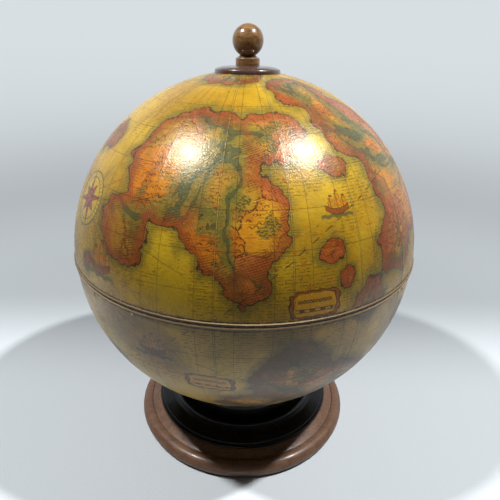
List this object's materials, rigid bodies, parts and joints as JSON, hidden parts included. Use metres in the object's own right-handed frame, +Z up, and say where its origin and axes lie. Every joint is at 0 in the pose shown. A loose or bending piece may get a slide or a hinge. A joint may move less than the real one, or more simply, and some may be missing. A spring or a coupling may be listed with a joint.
{
  "type": "tabletop globe bar",
  "caption": "Hinged globe on a turned wooden base; the upper half lifts on a rear hinge and stay over a deck that holds a bottle and glasses.",
  "frame": {"origin": "centre of the base's underside, on the table, under the globe's centre", "axes": "+Z up through the finial, -Y the front, +Y towards the lid's hinge, +X the side with the lid stay"},
  "size_m": [0.3318, 0.3373, 0.4094],
  "materials": {
    "lid_map": "pressed fibre shell covered with old-style printed map gores, glossy amber varnish",
    "bowl_map": "pressed fibre shell covered with printed map gores, glossy varnish",
    "lid_rim_wood": "pale beech hoop, varnished",
    "bowl_rim_wood": "pale beech hoop, varnished",
    "walnut": "turned, walnut stained, satin varnish",
    "black_lacquer": "turned, black satin lacquer",
    "knob_wood": "turned, medium brown gloss varnish",
    "disc_wood": "turned, dark red-brown gloss varnish",
    "board_veneer": "walnut veneered board, satin varnish",
    "plain_wood": "plain glued blocks, unfinished",
    "brass": "polished, lightly tarnished",
    "steel": "zinc plated",
    "green_felt": "pressed felt"
  },
  "bodies": {
    "stand": {"base_disc": "walnut", "base_felt": "green_felt", "plinth": "black_lacquer", "base_screws": "steel", "seat_felt": "green_felt", "centre_bolt": "steel", "bolt_washer": "steel", "nut_washer": "steel", "centre_nut": "steel", "bottle_rest": "plain_wood", "bowl_shell": "bowl_map", "bowl_rim": "bowl_rim_wood", "glass_deck": "board_veneer", "glass_shelf": "board_veneer", "deck_blocks": "plain_wood", "shelf_blocks": "plain_wood", "deck_screws": "brass", "shelf_screws": "brass", "hinge_leaf_bowl": "brass", "hinge_pin": "brass", "hinge_screws_bowl": "brass", "stay_block_bowl": "plain_wood", "stay_plate_bowl": "brass", "stay_screws_bowl": "brass", "stay_rivet_bowl": "brass"},
    "lid": {"lid_shell": "lid_map", "lid_rim": "lid_rim_wood", "finial_disc": "disc_wood", "finial_knob": "knob_wood", "finial_stud": "steel", "finial_washer": "brass", "finial_nut": "brass", "hinge_leaf_lid": "brass", "hinge_screws_lid": "brass", "stay_block_lid": "plain_wood", "stay_plate_lid": "brass", "stay_screws_lid": "brass", "stay_rivet_lid": "brass"},
    "stay_lower": {"stay_link_bowl": "brass", "stay_rivet_elbow": "brass"},
    "stay_upper": {"stay_link_lid": "brass"}
  },
  "joints": [
    {"name": "lid_hinge", "type": "hinge", "parent": "stand", "child": "lid", "pos_m": [0, 0.1688, 0.21024], "axis": [-1, 0, 0], "range_deg": [0, 100]},
    {"name": "stay_bowl_pivot", "type": "hinge", "parent": "stand", "child": "stay_lower", "pos_m": [0.127, 0.05529, 0.20224], "axis": [-1, 0, 0], "range_deg": [0, 100]},
    {"name": "stay_lid_pivot", "type": "hinge", "parent": "lid", "child": "stay_upper", "pos_m": [0.127, 0.05529, 0.21824], "axis": [-1, 0, 0], "range_deg": [-100, 0]}
  ],
  "couplings": [
    {"joint": "stay_bowl_pivot", "follows": "lid_hinge", "ratio": 1},
    {"joint": "stay_lid_pivot", "follows": "lid_hinge", "ratio": -1}
  ]
}
